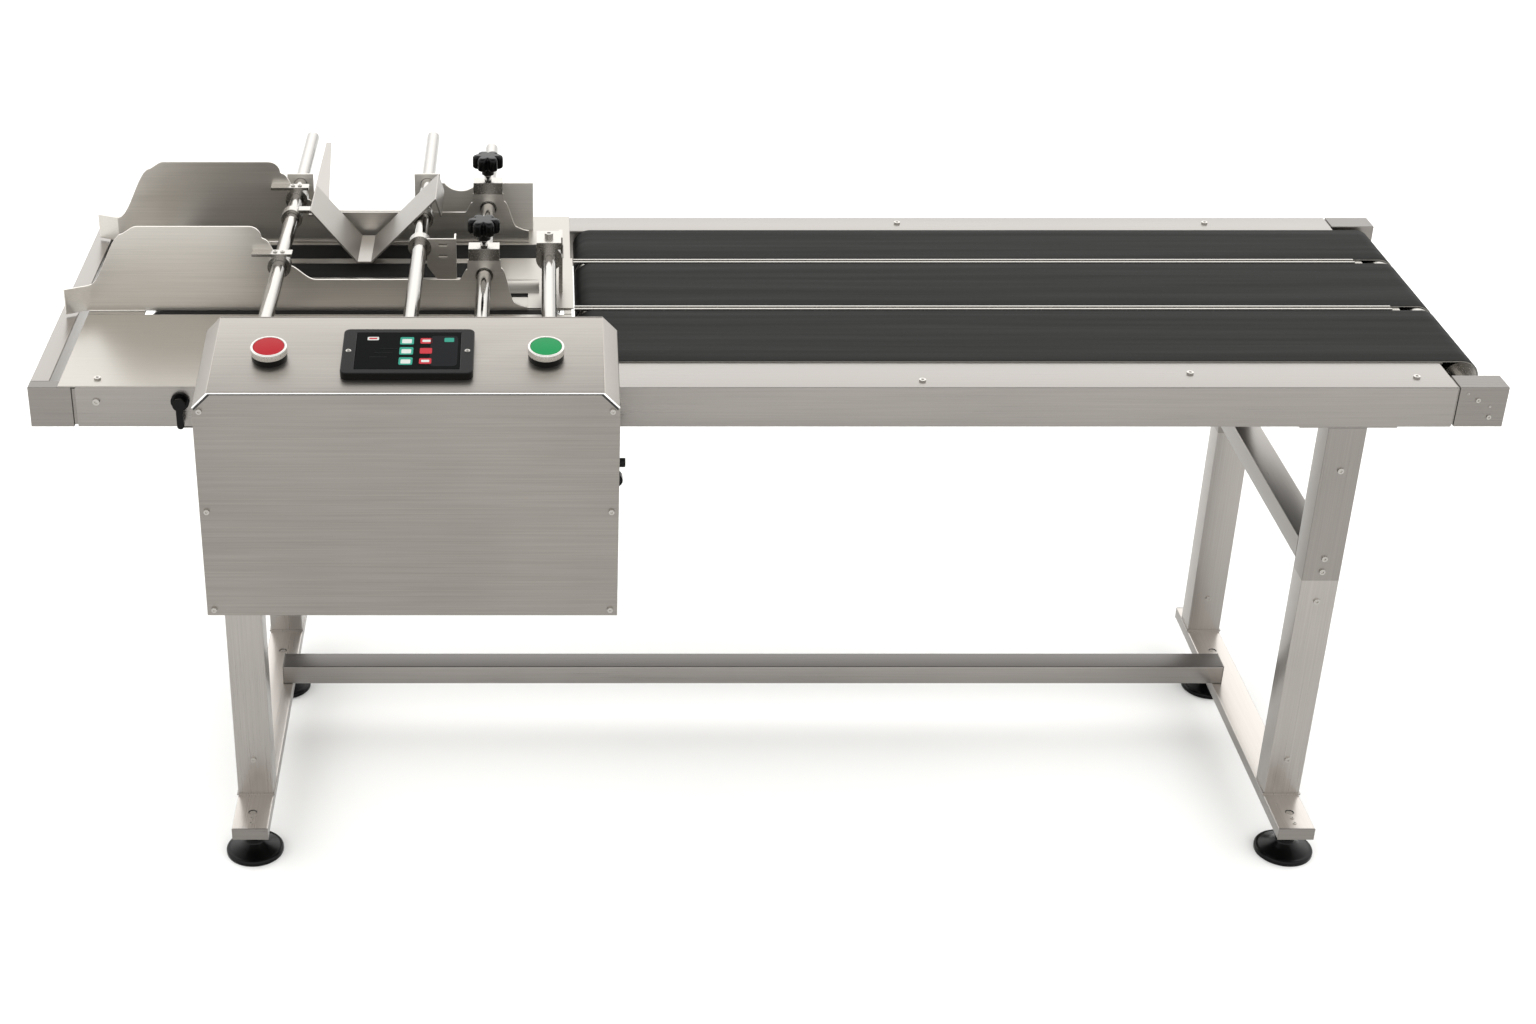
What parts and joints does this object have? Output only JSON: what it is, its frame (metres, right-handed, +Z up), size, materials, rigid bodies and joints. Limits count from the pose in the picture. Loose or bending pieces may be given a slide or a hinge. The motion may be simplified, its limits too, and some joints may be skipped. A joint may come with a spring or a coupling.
{
  "type": "belt conveyor section",
  "caption": "Stainless belt conveyor section with a friction feed hopper, adjustable side guides, guide rods, control box and levelling feet.",
  "frame": {"origin": "on the floor, under the middle of the machine's outer box", "axes": "+X along the bed in the direction of travel, from the infeed end to the outlet; +Y from the control box side to the rear; +Z up"},
  "size_m": [1.9, 0.913, 0.832],
  "materials": {
    "steel": "brushed stainless tube and folded sheet",
    "sheet_steel": "brushed stainless sheet with a fine grain",
    "dark_steel": "plain steel, out of sight",
    "bright_steel": "polished stainless fittings and rods",
    "roller_steel": "turned steel",
    "black_plastic": "moulded black nylon",
    "screen_glass": "glossy dark touch panel",
    "motor_paint": "painted motor casing",
    "drive_plastic": "moulded drive housing",
    "belt_rubber": "matte black belt with a fine grain",
    "timing_rubber": "black rubber drive belt",
    "red_plastic": "glossy red cap",
    "green_plastic": "glossy green cap"
  },
  "bodies": {
    "machine_frame": {"front_rail": "steel", "rear_rail": "steel", "end_blocks": "steel", "infeed_crossbar": "steel", "upper_legs": "steel", "lower_legs": "steel", "leg_cross_tubes": "steel", "leg_brackets": "steel", "foot_bars": "steel", "stretcher": "steel", "slider_bed": "sheet_steel", "table_plates": "sheet_steel", "discharge_deck": "sheet_steel", "box_shell": "sheet_steel", "box_front_cover": "sheet_steel", "box_back_plate": "sheet_steel", "rear_rod_plate": "sheet_steel", "bed_cross_members": "dark_steel", "leg_splices": "dark_steel", "roller_bearings": "dark_steel", "gap_strips": "bright_steel", "foot_nuts": "bright_steel", "frame_screws": "bright_steel", "button_rings": "bright_steel", "guide_rods": "bright_steel", "rod_collars": "bright_steel", "end_caps": "black_plastic", "button_collars": "black_plastic", "display_housing": "black_plastic", "power_plate": "black_plastic", "fuse_cap": "black_plastic", "display_screen": "screen_glass", "gear_motor": "motor_paint", "inverter": "drive_plastic", "conveyor_belts": "belt_rubber", "feed_belts": "belt_rubber", "drive_belts": "timing_rubber"},
    "drive_roller_unit": {"drive_roller": "roller_steel"},
    "tail_roller_unit": {"tail_roller": "roller_steel"},
    "feed_drive_unit": {"feed_drive_roller": "roller_steel"},
    "feed_idler_unit": {"feed_idler_roller": "roller_steel"},
    "motor_output": {"motor_pulley": "dark_steel"},
    "front_guide": {"front_guide_plate": "sheet_steel", "front_guide_clamps": "bright_steel"},
    "front_knob": {"front_guide_knob": "black_plastic"},
    "rear_guide": {"rear_guide_plate": "sheet_steel", "rear_guide_clamps": "bright_steel"},
    "rear_knob": {"rear_guide_knob": "black_plastic"},
    "product_support": {"vee_support": "sheet_steel", "vee_clamps": "bright_steel"},
    "gate": {"gate_plate": "sheet_steel", "gate_clamp": "bright_steel"},
    "stop_cap": {"stop_button": "red_plastic"},
    "start_cap": {"start_button": "green_plastic"},
    "rocker": {"power_rocker": "black_plastic"},
    "lever": {"clamp_lever": "black_plastic"},
    "foot_fl": {"foot_front_left": "black_plastic"},
    "foot_fr": {"foot_front_right": "black_plastic"},
    "foot_rl": {"foot_rear_left": "black_plastic"},
    "foot_rr": {"foot_rear_right": "black_plastic"}
  },
  "joints": [
    {"name": "drive_roller_spin", "type": "hinge", "parent": "machine_frame", "child": "drive_roller_unit", "pos_m": [-0.22, 0.0115, 0.677], "axis": [0, 1, 0], "continuous": true},
    {"name": "tail_roller_spin", "type": "hinge", "parent": "machine_frame", "child": "tail_roller_unit", "pos_m": [0.915, 0.0115, 0.677], "axis": [0, 1, 0], "continuous": true},
    {"name": "feed_drive_spin", "type": "hinge", "parent": "machine_frame", "child": "feed_drive_unit", "pos_m": [-0.285, 0.0115, 0.682], "axis": [0, 1, 0], "continuous": true},
    {"name": "feed_idler_spin", "type": "hinge", "parent": "machine_frame", "child": "feed_idler_unit", "pos_m": [-0.81, 0.0115, 0.682], "axis": [0, 1, 0], "continuous": true},
    {"name": "motor_pulley_spin", "type": "hinge", "parent": "machine_frame", "child": "motor_output", "pos_m": [-0.31, 0.0115, 0.56], "axis": [0, 1, 0], "continuous": true},
    {"name": "front_guide_slide", "type": "slide", "parent": "machine_frame", "child": "front_guide", "axis": [0, 1, 0], "range_m": [-0.1, 0]},
    {"name": "front_knob_turn", "type": "hinge", "parent": "front_guide", "child": "front_knob", "pos_m": [-0.369, -0.0375, 0.82], "axis": [0, 0, 1], "range_deg": [0, 360]},
    {"name": "rear_guide_slide", "type": "slide", "parent": "machine_frame", "child": "rear_guide", "axis": [0, 1, 0], "range_m": [-0.008, 0.025]},
    {"name": "rear_knob_turn", "type": "hinge", "parent": "rear_guide", "child": "rear_knob", "pos_m": [-0.369, 0.2145, 0.82], "axis": [0, 0, 1], "range_deg": [0, 360]},
    {"name": "support_slide", "type": "slide", "parent": "machine_frame", "child": "product_support", "axis": [0, 1, 0], "range_m": [-0.04, 0.008]},
    {"name": "gate_tilt", "type": "hinge", "parent": "machine_frame", "child": "gate", "pos_m": [-0.459, 0.0155, 0.773], "axis": [0, 1, 0], "range_deg": [-30, 0]},
    {"name": "stop_button_press", "type": "slide", "parent": "machine_frame", "child": "stop_cap", "axis": [0, -0.1673, 0.9859], "range_m": [-0.003, 0], "stiffness_N_per_m": 500, "springref_m": 0.002},
    {"name": "start_button_press", "type": "slide", "parent": "machine_frame", "child": "start_cap", "axis": [0, -0.1673, 0.9859], "range_m": [-0.003, 0], "stiffness_N_per_m": 500, "springref_m": 0.002},
    {"name": "power_rocker_tilt", "type": "hinge", "parent": "machine_frame", "child": "rocker", "pos_m": [-0.1965, -0.3485, 0.6], "axis": [0, 1, 0], "range_deg": [-8, 8]},
    {"name": "clamp_lever_turn", "type": "hinge", "parent": "machine_frame", "child": "lever", "pos_m": [-0.755, -0.2955, 0.681], "axis": [0, 1, 0], "range_deg": [0, 90]},
    {"name": "foot_fl_height", "type": "slide", "parent": "machine_frame", "child": "foot_fl", "axis": [0, 0, 1], "range_m": [-0.012, 0.01]},
    {"name": "foot_fr_height", "type": "slide", "parent": "machine_frame", "child": "foot_fr", "axis": [0, 0, 1], "range_m": [-0.012, 0.01]},
    {"name": "foot_rl_height", "type": "slide", "parent": "machine_frame", "child": "foot_rl", "axis": [0, 0, 1], "range_m": [-0.012, 0.01]},
    {"name": "foot_rr_height", "type": "slide", "parent": "machine_frame", "child": "foot_rr", "axis": [0, 0, 1], "range_m": [-0.012, 0.01]}
  ],
  "couplings": [
    {"joint": "tail_roller_spin", "follows": "drive_roller_spin", "ratio": 1},
    {"joint": "feed_drive_spin", "follows": "drive_roller_spin", "ratio": 1},
    {"joint": "feed_idler_spin", "follows": "drive_roller_spin", "ratio": 1},
    {"joint": "motor_pulley_spin", "follows": "drive_roller_spin", "ratio": 1}
  ]
}
